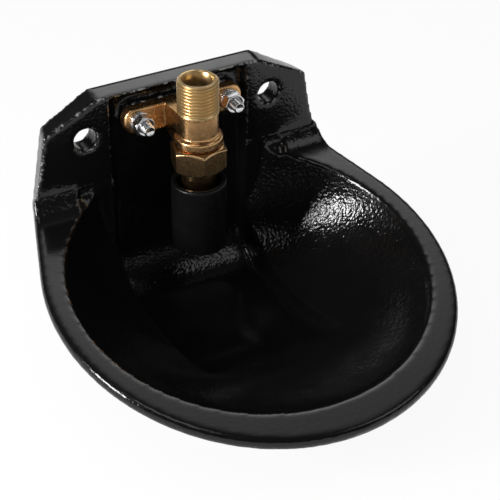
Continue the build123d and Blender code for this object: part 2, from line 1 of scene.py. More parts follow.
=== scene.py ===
"""Looks of a wall-mounted cast-iron drinking bowl with a brass pipe valve.

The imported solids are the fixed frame. This script softens the castings' edges, cuts real threads on the
inlet and the bolts, and gives every piece its finish. Lengths are in metres unless a name says otherwise.
"""
import logging
import math
from collections.abc import Sequence
from dataclasses import dataclass, field
from enum import Enum

import bmesh
import bpy
import numpy as np
from mathutils import Matrix, Vector


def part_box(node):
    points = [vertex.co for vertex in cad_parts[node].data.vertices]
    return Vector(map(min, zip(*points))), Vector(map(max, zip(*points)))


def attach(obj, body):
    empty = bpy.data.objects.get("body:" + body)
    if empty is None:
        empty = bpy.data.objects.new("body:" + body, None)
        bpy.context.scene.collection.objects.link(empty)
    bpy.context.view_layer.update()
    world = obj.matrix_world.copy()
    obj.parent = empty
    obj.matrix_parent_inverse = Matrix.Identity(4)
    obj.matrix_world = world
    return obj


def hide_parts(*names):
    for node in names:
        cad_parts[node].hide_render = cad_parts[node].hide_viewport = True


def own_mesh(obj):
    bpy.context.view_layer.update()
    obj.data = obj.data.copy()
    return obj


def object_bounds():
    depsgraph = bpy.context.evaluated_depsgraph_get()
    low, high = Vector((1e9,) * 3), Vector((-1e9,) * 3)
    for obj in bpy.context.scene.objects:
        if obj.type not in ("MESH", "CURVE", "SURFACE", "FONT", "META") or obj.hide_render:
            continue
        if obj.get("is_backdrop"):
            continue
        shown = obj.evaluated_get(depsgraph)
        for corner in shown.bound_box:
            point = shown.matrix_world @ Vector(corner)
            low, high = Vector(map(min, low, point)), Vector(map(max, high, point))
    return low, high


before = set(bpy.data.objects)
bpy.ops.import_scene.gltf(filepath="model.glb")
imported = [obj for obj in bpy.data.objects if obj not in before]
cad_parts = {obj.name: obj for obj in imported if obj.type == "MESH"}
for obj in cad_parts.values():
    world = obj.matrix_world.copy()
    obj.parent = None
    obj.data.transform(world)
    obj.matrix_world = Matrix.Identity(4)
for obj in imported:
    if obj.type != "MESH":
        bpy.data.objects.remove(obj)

Triple = tuple[float, float, float]
Range = tuple[float, float]
Pattern = tuple[float, int] | tuple[float, int, Triple]
Bumps = tuple[tuple[Pattern, float], ...]
Profile = list[tuple[float, float]]
Socket = bpy.types.NodeSocket

MM = 0.001
HEX_STEP = 60  # degrees from one corner of a hexagon to the next
MERGE_DISTANCE = 1e-6
SMOOTHING_FACTOR = 0.5
LONGEST_ROUNDING = 0.45  # of the side beside the corner
SAND_SKIN = "sand_skin"
# Convex edges marked for lighter grey: worn enamel, and a painted highlight that stands for the edges' glints.
EDGE_WEAR_AND_GLINT = "edge_wear_and_glint"
log = logging.getLogger("drinking_bowl")


# ---------- node trees
class Wiring:
    """The nodes of one tree, with each input fed by a socket or set to a constant."""

    def __init__(self, tree: bpy.types.NodeTree) -> None:
        """Take up a tree.

        Args:
            tree: The tree that the nodes are in.
        """
        self.nodes = tree.nodes
        self.links = tree.links

    def find(self, kind: str) -> bpy.types.Node:
        """Find the first node of one type.

        Args:
            kind: The type.

        Returns:
            The node.
        """
        return next(node for node in self.nodes if node.type == kind)

    def join(self, value: object, target: Socket) -> None:
        """Feed an input from a socket, or set it to a constant.

        Args:
            value: The socket or the constant.
            target: The input.
        """
        if isinstance(value, Socket):
            self.links.new(value, target)
        else:
            target.default_value = value

    def add(self, kind: str, inputs: dict[str | int, object] | None = None, **settings: object) -> bpy.types.Node:
        """Add a node.

        Args:
            kind: The node's type.
            inputs: Its input names, each with a socket or a constant.
            **settings: The node's own settings.

        Returns:
            The new node.
        """
        node = self.nodes.new(kind)
        for name, value in settings.items():
            setattr(node, name, value)
        for name, value in (inputs or {}).items():
            self.join(value, node.inputs[name])
        return node

    def math(self, operation: str, *values: Socket | float, clamp: bool = False) -> Socket:
        """Combine numbers.

        Args:
            operation: The Math node's operation.
            *values: Sockets or numbers.
            clamp: Whether the result stays between 0 and 1.

        Returns:
            The result.
        """
        inputs = dict(enumerate(values))
        return self.add("ShaderNodeMath", inputs, operation=operation, use_clamp=clamp).outputs[0]

    def spread(self, value: Socket, low: float, high: float, start: float = 0.3, end: float = 0.7,
               curve: str = "LINEAR") -> Socket:
        """Spread part of a pattern over a new range.

        Args:
            value: The pattern.
            low: Result where the pattern is at or below start.
            high: Result where the pattern is at or above end.
            start: Pattern value that gives low.
            end: Pattern value that gives high.
            curve: How the result runs between them.

        Returns:
            The result.
        """
        inputs = {"Value": value, "From Min": start, "From Max": end, "To Min": low, "To Max": high}
        return self.add("ShaderNodeMapRange", inputs, interpolation_type=curve).outputs["Result"]


class ShaderTree(Wiring):
    """A material's nodes round one Principled shader, with patterns in the object's own space."""

    def __init__(self, name: str) -> None:
        """Start a material with a shader and its output.

        Args:
            name: The material's name.
        """
        self.material = bpy.data.materials.new(name)
        self.material.use_nodes = True
        super().__init__(self.material.node_tree)
        self.shader = self.find("BSDF_PRINCIPLED")
        self.place = self.add("ShaderNodeTexCoord").outputs["Object"]

    def noise(self, size: float, detail: float = 2.0, stretch: Triple | None = None) -> Socket:
        """Cloudy pattern.

        Args:
            size: Width of one patch.
            detail: How many finer layers it has.
            stretch: How many times finer it is along X, Y and Z.

        Returns:
            The pattern, from 0 to 1.
        """
        place = self.place
        if stretch:
            place = self.add("ShaderNodeMapping", {"Vector": place, "Scale": stretch}).outputs["Vector"]
        inputs = {"Scale": 1 / size, "Detail": detail, "Vector": place}
        return self.add("ShaderNodeTexNoise", inputs).outputs["Fac"]

    def cells(self, size: float) -> Socket:
        """Distance to the nearest of many scattered points.

        Args:
            size: Spacing of the points.

        Returns:
            The distance, in spacings.
        """
        return self.add("ShaderNodeTexVoronoi", {"Scale": 1 / size, "Vector": self.place}).outputs["Distance"]

    def painted(self, attribute: str) -> Socket:
        """A number kept at each point of the piece's own mesh.

        Args:
            attribute: Its name.

        Returns:
            The number.
        """
        return self.add("ShaderNodeAttribute", attribute_name=attribute).outputs["Fac"]

    def blend(self, value: Socket, first: Triple | Socket, second: Triple) -> Socket:
        """Blend two colours by a pattern.

        Args:
            value: The pattern, from 0 for the first to 1 for the second.
            first: Colour at 0, or a pattern of colours.
            second: Colour at 1.

        Returns:
            The blended colour.
        """
        start = (*first, 1.0) if isinstance(first, tuple) else first
        mix = self.add("ShaderNodeMix", {"Factor": value, "A": start, "B": (*second, 1.0)}, data_type="RGBA")
        return next(socket for socket in mix.outputs if socket.type == "RGBA")

    def feed(self, name: str, value: Socket | float) -> None:
        """Feed one of the shader's inputs.

        Args:
            name: The input's name.
            value: A pattern or a constant.
        """
        self.join(value, self.shader.inputs[name])

    def relief(self, *layers: tuple[Socket, float]) -> None:
        """Lay bumps over each other on the surface.

        Args:
            *layers: Each pattern with its height.
        """
        under: dict[str, Socket] = {}
        for pattern, height in layers:
            bump = self.add("ShaderNodeBump", {"Strength": 1.0, "Distance": height, "Height": pattern} | under)
            under = {"Normal": bump.outputs["Normal"]}
        self.feed("Normal", under["Normal"])


class ShapeTree(Wiring):
    """A Geometry Nodes tree with named inputs, run once on a piece."""

    def __init__(self, name: str, **inputs: str) -> None:
        """Start a tree with its inputs.

        Args:
            name: The tree's name.
            **inputs: Each input's name and the kind of its socket. A material comes with every tree.
        """
        self.tree = bpy.data.node_groups.new(name, "GeometryNodeTree")
        super().__init__(self.tree)
        kinds = {"Geometry": "Geometry"} | inputs | {"Material": "Material"}
        for title, kind in kinds.items():
            self.tree.interface.new_socket(title, in_out="INPUT", socket_type="NodeSocket" + kind)
        self.tree.interface.new_socket("Geometry", in_out="OUTPUT", socket_type="NodeSocketGeometry")
        self.start = self.add("NodeGroupInput").outputs
        self.end = self.add("NodeGroupOutput").inputs

    def give(self, geometry: Socket) -> None:
        """Send the tree's geometry out with its material.

        Args:
            geometry: The geometry.
        """
        whole = self.add("GeometryNodeRealizeInstances", {"Geometry": geometry})
        inputs = {"Geometry": whole.outputs["Geometry"], "Material": self.start["Material"]}
        dressed = self.add("GeometryNodeSetMaterial", inputs)
        self.join(dressed.outputs["Geometry"], self.end["Geometry"])

    def run(self, piece: bpy.types.Object, **values: object) -> None:
        """Run the tree on a piece and keep the result as its plain mesh.

        Args:
            piece: The piece.
            **values: Each input's value.
        """
        modifier = piece.modifiers.new(self.tree.name, "NODES")
        modifier.node_group = self.tree
        for item in self.tree.interface.items_tree:
            if item.name in values:
                modifier[item.identifier] = values[item.name]
        settle(piece)


def cast_skin_tree() -> ShapeTree:
    """Tree that gives a surface the uneven skin of a sand casting."""
    tree = ShapeTree("cast_skin", Grain="Float", Depth="Float", Seed="Float")
    fineness = tree.math("DIVIDE", 1.0, tree.start["Grain"])
    noise = tree.add("ShaderNodeTexNoise", {"Scale": fineness, "W": tree.start["Seed"]}, noise_dimensions="4D")
    skin = tree.add("GeometryNodeInputNamedAttribute", {"Name": SAND_SKIN}, data_type="FLOAT")
    depth = tree.math("MULTIPLY", skin.outputs["Attribute"], tree.start["Depth"])
    height = tree.math("MULTIPLY", tree.math("SUBTRACT", noise.outputs["Fac"], 0.5), depth)
    normal = tree.add("GeometryNodeInputNormal").outputs["Normal"]
    shift = tree.add("ShaderNodeVectorMath", {0: normal, "Scale": height}, operation="SCALE")
    inputs = {"Geometry": tree.start["Geometry"], "Offset": shift.outputs["Vector"]}
    tree.give(tree.add("GeometryNodeSetPosition", inputs).outputs["Geometry"])
    return tree


def fastener_pair_tree() -> ShapeTree:
    """Tree that sets a fastener at each of the valve's two ears."""
    tree = ShapeTree("fastener_pair", Fastener="Object", Spacing="Float", Height="Float", Distance="Float",
                     First="Float", Second="Float")
    left = tree.math("MULTIPLY", tree.start["Spacing"], -0.5)
    out = tree.math("MULTIPLY", tree.start["Distance"], -1.0)
    corner = tree.add("ShaderNodeCombineXYZ", {"X": left, "Y": out, "Z": tree.start["Height"]})
    stride = tree.add("ShaderNodeCombineXYZ", {"X": tree.start["Spacing"]})
    line = tree.add("GeometryNodeMeshLine", {
        "Start Location": corner.outputs["Vector"], "Offset": stride.outputs["Vector"], "Count": 2})
    index = tree.add("GeometryNodeInputIndex").outputs["Index"]
    difference = tree.math("SUBTRACT", tree.start["Second"], tree.start["First"])
    turn = tree.math("ADD", tree.start["First"], tree.math("MULTIPLY", index, difference))
    rotation = tree.add("ShaderNodeCombineXYZ", {"Y": turn})
    source = tree.add("GeometryNodeObjectInfo", {"Object": tree.start["Fastener"]})
    pair = tree.add("GeometryNodeInstanceOnPoints", {
        "Points": line.outputs["Mesh"], "Instance": source.outputs["Geometry"],
        "Rotation": rotation.outputs["Vector"]})
    tree.give(pair.outputs["Instances"])
    return tree


# ---------- finishes
@dataclass(frozen=True)
class BlackEnamel:
    """Glossy black enamel that follows the grain of the sand-cast iron under it."""

    name: str = "black_enamel"
    colour: Triple = (0.0026, 0.0026, 0.0028)
    worn_colour: Triple = (0.0040, 0.0040, 0.0041)
    patch_size: float = 25 * MM
    gloss: Range = (0.10, 0.20)
    gloss_size: float = 14 * MM
    refraction: float = 1.41
    swell_size: float = 11 * MM
    swell_height: float = 0.12 * MM
    peel_size: float = 1.7 * MM
    peel_height: float = 0.30 * MM
    flat_peel: float = 0.08
    speck_size: float = 5.5 * MM
    speck_radius: float = 0.14
    speck_height: float = 0.14 * MM
    # Lighter grey on edges: worn enamel and painted edge glints together.
    chip_and_glint_colour: Triple = (0.24, 0.24, 0.235)
    chip_and_glint_size: float = 2.4 * MM
    chip_and_glint_edge: Range = (0.50, 0.62)

    def material(self) -> bpy.types.Material:
        """Build the enamel's material."""
        tree = ShaderTree(self.name)
        chips_and_glints = tree.spread(tree.noise(self.chip_and_glint_size, 2), 0.0, 1.0, *self.chip_and_glint_edge)
        # Chips of lighter grey along convex edges: part wear, part painted highlight for the edges' glints.
        worn_and_glinting = tree.math("MULTIPLY", tree.painted(EDGE_WEAR_AND_GLINT), chips_and_glints)
        coat = tree.blend(tree.noise(self.patch_size, 3), self.colour, self.worn_colour)
        tree.feed("Base Color", tree.blend(worn_and_glinting, coat, self.chip_and_glint_colour))
        tree.feed("Roughness", tree.spread(tree.noise(self.gloss_size, 4), *self.gloss))
        tree.feed("IOR", self.refraction)
        rough = tree.spread(tree.painted(SAND_SKIN), self.flat_peel, 1.0, 0.0, 1.0)
        specks = tree.spread(tree.cells(self.speck_size), 1.0, 0.0, 0.0, self.speck_radius)
        layers = [(tree.noise(self.swell_size, 1), self.swell_height),
                  (tree.noise(self.peel_size, 1), self.peel_height), (specks, self.speck_height)]
        tree.relief(*[(tree.math("MULTIPLY", pattern, rough), height) for pattern, height in layers])
        return tree.material


@dataclass(frozen=True)
class Grained:
    """A finish with patches of two colours, uneven gloss and fine relief.

    A pattern is the size of its patches, how many finer layers it has and, if any, its stretch.
    """

    name: str
    light_colour: Triple
    dark_colour: Triple
    gloss: Range
    patches: Pattern
    sheen: Pattern
    bumps: Bumps
    metallic: float = 1.0

    def material(self) -> bpy.types.Material:
        """Build the finish's material."""
        tree = ShaderTree(self.name)
        tree.feed("Metallic", self.metallic)
        tree.feed("Base Color", tree.blend(tree.noise(*self.patches), self.dark_colour, self.light_colour))
        tree.feed("Roughness", tree.spread(tree.noise(*self.sheen), *self.gloss))
        tree.relief(*[(tree.noise(*pattern), height) for pattern, height in self.bumps])
        return tree.material


@dataclass(frozen=True)
class CastBrass(Grained):
    """Brass as it leaves the mould, blasted and lightly brushed."""

    name: str = "cast_brass"
    light_colour: Triple = (0.60, 0.355, 0.165)
    dark_colour: Triple = (0.49, 0.275, 0.115)
    gloss: Range = (0.22, 0.32)
    patches: Pattern = (4 * MM, 4)
    sheen: Pattern = (2.5 * MM, 3)
    bumps: Bumps = (((1.8 * MM, 2), 0.010 * MM), ((0.7 * MM, 3), 0.005 * MM))


@dataclass(frozen=True)
class TurnedMetal(Grained):
    """Metal turned on a lathe, with fine rings round an upright axis."""

    gloss: Range = (0.18, 0.34)
    patches: Pattern = (3 * MM, 4)
    sheen: Pattern = (1.5 * MM, 3)
    bumps: Bumps = (
        ((2.5 * MM, 1), 0.004 * MM), ((0.7 * MM, 1, (0.02, 0.02, 1.0)), 0.002 * MM))


@dataclass(frozen=True)
class PlatedSteel(Grained):
    """Steel with a bright zinc plate, a little uneven."""

    name: str = "zinc_plate"
    light_colour: Triple = (0.80, 0.80, 0.81)
    dark_colour: Triple = (0.60, 0.60, 0.61)
    gloss: Range = (0.14, 0.28)
    patches: Pattern = (1.4 * MM, 4)
    sheen: Pattern = (0.9 * MM, 3)
    bumps: Bumps = (((0.9 * MM, 1), 0.003 * MM),)


@dataclass(frozen=True)
class SoftMatter(Grained):
    """Matt rubber or plastic with a fine grain."""

    gloss: Range = (0.55, 0.75)
    patches: Pattern = (2 * MM, 3)
    sheen: Pattern = (1 * MM, 2)
    bumps: Bumps = (((0.3 * MM, 2), 0.01 * MM),)
    metallic: float = 0.0


class Finish(Enum):
    """The finishes of the bowl's pieces, each with the record's material slot."""

    ENAMEL = ("enamelled_iron", BlackEnamel())
    PIPE_ENAMEL = ("black_pipe", BlackEnamel(name="pipe_enamel", gloss=(0.26, 0.38), refraction=1.3))
    BRASS = ("brass", CastBrass())
    # Darker brass of the union nut, also laid on the spout as painted shade.
    NUT_AND_SHADED_BRASS = ("turned_brass", TurnedMetal("nut_and_shaded_brass", (0.56, 0.36, 0.18), (0.48, 0.30, 0.145), (0.20, 0.26)))
    TURNED_BRASS = ("brass", TurnedMetal("turned_brass", (0.84, 0.50, 0.21), (0.74, 0.42, 0.165), (0.14, 0.24)))
    ZINC = ("zinc_steel", PlatedSteel())
    STAINLESS = ("stainless", TurnedMetal("stainless_steel", (0.62, 0.62, 0.61), (0.5, 0.5, 0.49)))
    RUBBER = ("rubber", SoftMatter("black_rubber", (0.035, 0.035, 0.034), (0.02, 0.02, 0.02)))
    NYLON = ("nylon", SoftMatter("white_nylon", (0.86, 0.85, 0.81), (0.78, 0.77, 0.72), (0.35, 0.5)))

    @property
    def slot(self) -> str:
        """The record's material slot."""
        return self.value[0]

    def material(self) -> bpy.types.Material:
        """The finish's material, built once."""
        recipe = self.value[1]
        return bpy.data.materials.get(recipe.name) or recipe.material()


# ---------- mesh tools
def new_piece(name: str, mesh: bpy.types.Mesh) -> bpy.types.Object:
    """Put a mesh into the scene as an object at the origin.

    Args:
        name: The object's name.
        mesh: Its mesh.

    Returns:
        The new object.
    """
    piece = bpy.data.objects.new(name, mesh)
    bpy.context.scene.collection.objects.link(piece)
    return piece


def piece_from(sheet: bmesh.types.BMesh, name: str) -> bpy.types.Object:
    """Turn a mesh under work into an object, and let go of it.

    Args:
        sheet: The mesh under work.
        name: The object's name.

    Returns:
        The new object.
    """
    mesh = bpy.data.meshes.new(name)
    sheet.to_mesh(mesh)
    sheet.free()
    return new_piece(name, mesh)


def coat(piece: bpy.types.Object, finish: Finish) -> None:
    """Give a piece its finish.

    Args:
        piece: The piece.
        finish: Its finish.
    """
    piece.data.materials.clear()
    piece.data.materials.append(finish.material())


def dress(piece: bpy.types.Object, finish: Finish, body: str, *nodes: str) -> None:
    """Give a piece its finish, its body and the solids that it stands for.

    Args:
        piece: The piece.
        finish: Its finish.
        body: The body that it rides on.
        *nodes: The solids that it replaces.
    """
    coat(piece, finish)
    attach(piece, body)
    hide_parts(*nodes)
    log.info("%s rides on %s with %s", piece.name, body, finish.name)


def merged_copy(node: str, name: str) -> bpy.types.Object:
    """Copy a solid with its triangles joined at their corners.

    Args:
        node: The solid's name.
        name: The copy's name.

    Returns:
        The copy.
    """
    sheet = bmesh.new()
    sheet.from_mesh(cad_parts[node].data)
    bmesh.ops.remove_doubles(sheet, verts=sheet.verts, dist=MERGE_DISTANCE)
    return piece_from(sheet, name)


def settle(piece: bpy.types.Object) -> None:
    """Turn a piece with modifiers into a plain mesh.

    Args:
        piece: The piece, whose modifiers are applied and removed.
    """
    bpy.context.view_layer.update()
    seen = piece.evaluated_get(bpy.context.evaluated_depsgraph_get())
    plain = bpy.data.meshes.new_from_object(seen)
    piece.modifiers.clear()
    piece.data = plain


def add_smoothing(piece: bpy.types.Object, passes: int, group: str = "") -> None:
    """Smooth a piece's points towards their neighbours.

    Args:
        piece: The piece.
        passes: How many times.
        group: The vertex group that it keeps to.
    """
    smooth = piece.modifiers.new("smoothing", "SMOOTH")
    smooth.factor = SMOOTHING_FACTOR
    smooth.iterations = passes
    smooth.vertex_group = group


def soften(piece: bpy.types.Object, voxel: float, passes: int) -> None:
    """Round a solid's edges as a casting's are, on an even mesh.

    Args:
        piece: The solid.
        voxel: Size of the even mesh's cells.
        passes: How many times the mesh is smoothed.
    """
    remesh = piece.modifiers.new("even_mesh", "REMESH")
    remesh.mode = "VOXEL"
    remesh.voxel_size = voxel
    remesh.use_smooth_shade = True
    add_smoothing(piece, passes)
    settle(piece)


def point_rows(mesh: bpy.types.Mesh, name: str) -> np.ndarray:
    """Read a vector that a mesh has at each point.

    Args:
        mesh: The mesh.
        name: The vector's name.

    Returns:
        The vectors, one row to a point.
    """
    values = np.empty(len(mesh.vertices) * 3, np.float32)
    mesh.vertices.foreach_get(name, values)
    return values.reshape(-1, 3)


def edge_ends(mesh: bpy.types.Mesh) -> np.ndarray:
    """Read which points each edge joins.

    Args:
        mesh: The mesh.

    Returns:
        The edges' first points in one row and their second points in another.
    """
    ends = np.empty(len(mesh.edges) * 2, np.int32)
    mesh.edges.foreach_get("vertices", ends)
    return ends.reshape(-1, 2).T


def paint(mesh: bpy.types.Mesh, name: str, values: np.ndarray) -> None:
    """Keep a number at each point.

    Args:
        mesh: The mesh.
        name: The number's name.
        values: The numbers.
    """
    mesh.attributes.new(name, "FLOAT", "POINT").data.foreach_set("value", values.astype(np.float32))


def calm_flats(piece: bpy.types.Object, limit_degrees: float, margin: int, passes: int) -> None:
    """Smooth away facets where a surface turns gently, and leave its edges as they are.

    Args:
        piece: The piece, with an even mesh.
        limit_degrees: Turn between neighbouring points above which they count as an edge.
        margin: How many points round an edge are left alone.
        passes: How many times the rest is smoothed.
    """
    normals = point_rows(piece.data, "normal")
    ends = edge_ends(piece.data)
    turned = (normals[ends[0]] * normals[ends[1]]).sum(1) < math.cos(math.radians(limit_degrees))
    edge_points = np.zeros(len(normals), bool)
    edge_points[ends[:, turned]] = True
    for _ in range(margin):
        edge_points[ends[:, edge_points[ends].any(0)]] = True
    calm = piece.vertex_groups.new(name="calm")
    calm.add([int(index) for index in np.flatnonzero(~edge_points)], 1.0, "REPLACE")
    add_smoothing(piece, passes, calm.name)
    settle(piece)
    piece.vertex_groups.clear()


def rounded(corners: Profile, radius: float, steps: int = 3) -> Profile:
    """Round every corner of a closed outline.

    Args:
        corners: The outline's corners in order.
        radius: How far from each corner its rounding starts.
        steps: How many parts each rounding has.

    Returns:
        The rounded outline.
    """
    outline: Profile = []
    for index, corner in enumerate(corners):
        here = Vector(corner)
        to_before = Vector(corners[index - 1]) - here
        to_after = Vector(corners[(index + 1) % len(corners)]) - here
        reach = min(radius, to_before.length * LONGEST_ROUNDING, to_after.length * LONGEST_ROUNDING)
        start = here + to_before.normalized() * reach
        end = here + to_after.normalized() * reach
        for step in range(steps + 1):
            share = step / steps
            point = start * (1 - share) ** 2 + here * 2 * share * (1 - share) + end * share ** 2
            outline.append((point.x, point.y))
    return outline


def close_rings(rings: Sequence[Sequence[Vector]], name: str, tube: bool) -> bpy.types.Object:
    """Join rings of points into a closed skin.

    Args:
        rings: Rings with as many points each, in order along the skin.
        name: The new object's name.
        tube: Whether the last ring joins the first. Otherwise both ends are capped.

    Returns:
        The new object, with its faces turned outwards.
    """
    sheet = bmesh.new()
    laid = [[sheet.verts.new(point) for point in ring] for ring in rings]
    pairs = list(zip(laid, laid[1:]))
    if tube:
        pairs.append((laid[-1], laid[0]))
    else:
        sheet.faces.new(laid[0])
        sheet.faces.new(laid[-1])
    for lower, upper in pairs:
        for index in range(len(lower)):
            after = (index + 1) % len(lower)
            sheet.faces.new((lower[index], lower[after], upper[after], upper[index]))
    for face in sheet.faces:
        face.smooth = True
    bmesh.ops.recalc_face_normals(sheet, faces=sheet.faces)
    return piece_from(sheet, name)


def way(angle: float) -> Vector:
    """Point in a level direction.

    Args:
        angle: The direction's angle from X.

    Returns:
        The direction, one unit long.
    """
    return Vector((math.cos(angle), math.sin(angle), 0))


def turned_ring(outline: Profile, name: str, segments: int = 128) -> bpy.types.Object:
    """Turn a closed outline round +Z.

    Args:
        outline: Radius and height of each point.
        name: The new object's name.
        segments: How many parts the circle has.

    Returns:
        The new object.
    """
    angles = (2 * math.pi * step / segments for step in range(segments))
    rings = [[Vector((r * math.cos(angle), r * math.sin(angle), z)) for r, z in outline] for angle in angles]
    return close_rings(rings, name, tube=True)


def level_ring(height: float, radii: Sequence[float]) -> list[Vector]:
    """A ring of points at one height.

    Args:
        height: The height.
        radii: The radius at each point.

    Returns:
        The points.
    """
    angles = (2 * math.pi * index / len(radii) for index in range(len(radii)))
    return [Vector((r * math.cos(angle), r * math.sin(angle), height)) for r, angle in zip(radii, angles)]


@dataclass(frozen=True)
class Thread:
    """A right-handed screw thread round +Z."""

    crest_r: float
    depth: float
    pitch: float
    bottom: float
    top: float
    lead: float
    segments: int
    steps: int
    root_share: float = 0.14
    flank_share: float = 0.70

    def ridge(self, turns: float) -> float:
        """Height of the thread's flank, from 0 at the root to 1 at the crest.

        Args:
            turns: How many pitches up the thread the point is.

        Returns:
            The height.
        """
        wave = 1 - abs(2 * (turns % 1.0) - 1)
        return min(max((wave - self.root_share) / self.flank_share, 0.0), 1.0)

    def radius(self, angle: float, height: float) -> float:
        """Radius of the threaded surface.

        Args:
            angle: Angle round the axis.
            height: Height above the thread's own origin.

        Returns:
            The radius.
        """
        cut = self.depth * (1 - self.ridge(height / self.pitch - angle / (2 * math.pi)))
        run_out = min(max((height - self.bottom) / self.pitch, 0.0), 1.0)
        chamfer = max(0.0, height - (self.top - self.lead))
        return min(self.crest_r - cut * run_out, self.crest_r - chamfer)

    def rings(self) -> list[list[Vector]]:
        """Rings of points from the thread's bottom to its top."""
        count = int((self.top - self.bottom) / self.pitch * self.steps) + 1
        rings = []
        for step in range(count + 1):
            height = self.bottom + (self.top - self.bottom) * step / count
            angles = [2 * math.pi * index / self.segments for index in range(self.segments)]
            rings.append(level_ring(height, [self.radius(angle, height) for angle in angles]))
        return rings


@dataclass(frozen=True)
class HexNut:
    """A hexagon nut that stands on its own origin, with bevelled corners and softened edges."""

    flats: float
    height: float
    bore_r: float
    face_share: float = 0.95
    bevel_degrees: float = 30.0
    edge: float = 0.35 * MM
    flat_parts: int = 6
    corner_parts: int = 4

    def outline(self) -> list[Vector]:
        """The hexagon, with its six upright edges rounded."""
        half_step = math.radians(HEX_STEP / 2)
        inner = self.flats / 2 - self.edge
        points = []
        for corner in range(360 // HEX_STEP):
            angle, following = (math.radians(HEX_STEP * index) for index in (corner, corner + 1))
            centre = way(angle) * inner / math.cos(half_step)
            next_centre = way(following) * inner / math.cos(half_step)
            for part in range(self.corner_parts + 1):
                turn = angle + math.radians(HEX_STEP * (part / self.corner_parts - 0.5))
                points.append(centre + way(turn) * self.edge)
            out = way(angle + half_step) * self.edge
            for part in range(1, self.flat_parts):
                points.append(centre.lerp(next_centre, part / self.flat_parts) + out)
        return points

    def build(self, name: str, turn_degrees: float = 0.0) -> bpy.types.Object:
        """Build the nut.

        Args:
            name: The new object's name.
            turn_degrees: How far it is turned round its axis.

        Returns:
            The nut, round +Z.
        """
        face_r = self.flats / 2 * self.face_share
        slope = math.tan(math.radians(self.bevel_degrees))
        outline = self.outline()
        soft = self.edge / 2

        def level(height: float, inset: float, sign: float) -> list[Vector]:
            """The outline drawn in and lowered by the corner bevel."""
            ring = []
            for point in outline:
                radius = point.length - inset
                drop = max(0.0, radius - face_r) * slope
                ring.append(point.normalized() * radius + Vector((0, 0, height - sign * drop)))
            return ring

        def scaled(radius: float, height: float) -> list[Vector]:
            """A circle with the outline's points."""
            return [point.normalized() * radius + Vector((0, 0, height)) for point in outline]

        mouth = self.bore_r + 2 * soft
        nut = close_rings([
            scaled(self.bore_r, 2 * soft), scaled(self.bore_r, self.height - 2 * soft),
            scaled(mouth, self.height), scaled(face_r - soft, self.height), scaled(face_r, self.height),
            level(self.height, soft, 1), level(self.height - soft, 0, 1),
            level(self.height - 2 * soft, 0, 1), level(2 * soft, 0, -1), level(soft, 0, -1),
            level(0, soft, -1), scaled(face_r, 0), scaled(face_r - soft, 0), scaled(mouth, 0),
        ], name, tube=True)
        nut.data.transform(Matrix.Rotation(math.radians(turn_degrees), 4, "Z"))
        return nut


# ---------- sub-assemblies
@dataclass
class IronBowl:
    """The enamelled casting: wall plate, recess, dish with its trough, and flat rim."""

    voxel: float = 1.27 * MM
    edge_passes: int = 4
    gentle_turn_degrees: float = 7.0
    edge_margin: int = 3
    calm_passes: int = 30
    skin_grain: float = 5.0 * MM
    skin_depth: float = 0.20 * MM
    skin_seed: float = 4.0
    rim_slope: float = 0.1944
    rim_height_at_wall: float = -31.5 * MM
    rim_reach: float = 3.5 * MM
    plate_top: float = 20.0 * MM
    floor_share: float = 0.82
    face_share: float = 0.5
    face_turn: float = 0.90
    face_above: float = -26.0 * MM
    lip_start: float = 1.2
    lip_reach: float = 4.0 * MM
    lip_share: float = 0.92
    wear_and_glint_from: float = 0.07
    wear_and_glint_to: float = 0.16
    level_from: float = 0.78
    level_to: float = 0.965
    shortest_edge: float = 1e-9

    def build(self) -> None:
        """Build the softened casting in place of its solid."""
        bowl = merged_copy("bowl_casting", "enamelled_bowl")
        soften(bowl, self.voxel, self.edge_passes)
        calm_flats(bowl, self.gentle_turn_degrees, self.edge_margin, self.calm_passes)
        self.paint_skin(bowl.data)
        self.paint_wear_and_glints(bowl.data)
        cast_skin_tree().run(bowl, Grain=self.skin_grain, Depth=self.skin_depth, Seed=self.skin_seed,
                             Material=Finish.ENAMEL.material())
        dress(bowl, Finish.ENAMEL, "bowl", "bowl_casting")

    def above_rim(self, places: np.ndarray) -> np.ndarray:
        """How far points stand above the rim's sloping face.

        Args:
            places: The points, one row to a point.

        Returns:
            Their heights above it.
        """
        return places[:, 2] - (self.rim_height_at_wall + self.rim_slope * places[:, 1])

    def paint_skin(self, mesh: bpy.types.Mesh) -> None:
        """Mark how rough the sand left each point, least on the rim's face and the plate's top edge.

        Args:
            mesh: The casting's mesh.
        """
        places = point_rows(mesh, "co")
        _, forward, up = point_rows(mesh, "normal").T
        level = (up - self.level_from) / (self.level_to - self.level_from)
        from_rim = np.abs(self.above_rim(places))
        machined = (from_rim < self.rim_reach) | (places[:, 2] > self.plate_top)
        smooth = np.clip(level, 0, 1) * np.where(machined, 1.0, self.floor_share)
        plate_face = (forward < -self.face_turn) & (places[:, 2] > self.face_above)
        smooth = np.where(plate_face, self.face_share, smooth)
        near_rim = np.clip(self.lip_start - from_rim / self.lip_reach, 0, 1) * self.lip_share
        paint(mesh, SAND_SKIN, 1 - np.maximum(smooth, near_rim))

    def paint_wear_and_glints(self, mesh: bpy.types.Mesh) -> None:
        """Mark where the enamel wears thin, and where lighter grey is laid as a painted highlight for the edges'
        glints, along edges that stand out above the rim.

        Args:
            mesh: The casting's mesh.
        """
        places, normals, ends = point_rows(mesh, "co"), point_rows(mesh, "normal"), edge_ends(mesh)
        count, (first, second) = len(places), ends
        along = places[second] - places[first]
        along /= np.maximum(np.linalg.norm(along, axis=1, keepdims=True), self.shortest_edge)
        drop = np.bincount(first, -(normals[first] * along).sum(1), count)
        drop += np.bincount(second, (normals[second] * along).sum(1), count)
        drop /= np.maximum(np.bincount(ends.ravel(), minlength=count), 1)
        # Lighter grey on convex edges: wear, and painted edge highlights.
        wear_and_glint = np.clip((drop - self.wear_and_glint_from) / (self.wear_and_glint_to - self.wear_and_glint_from), 0, 1)
        wear_and_glint[self.above_rim(places) < self.rim_reach] = 0
        paint(mesh, EDGE_WEAR_AND_GLINT, wear_and_glint)


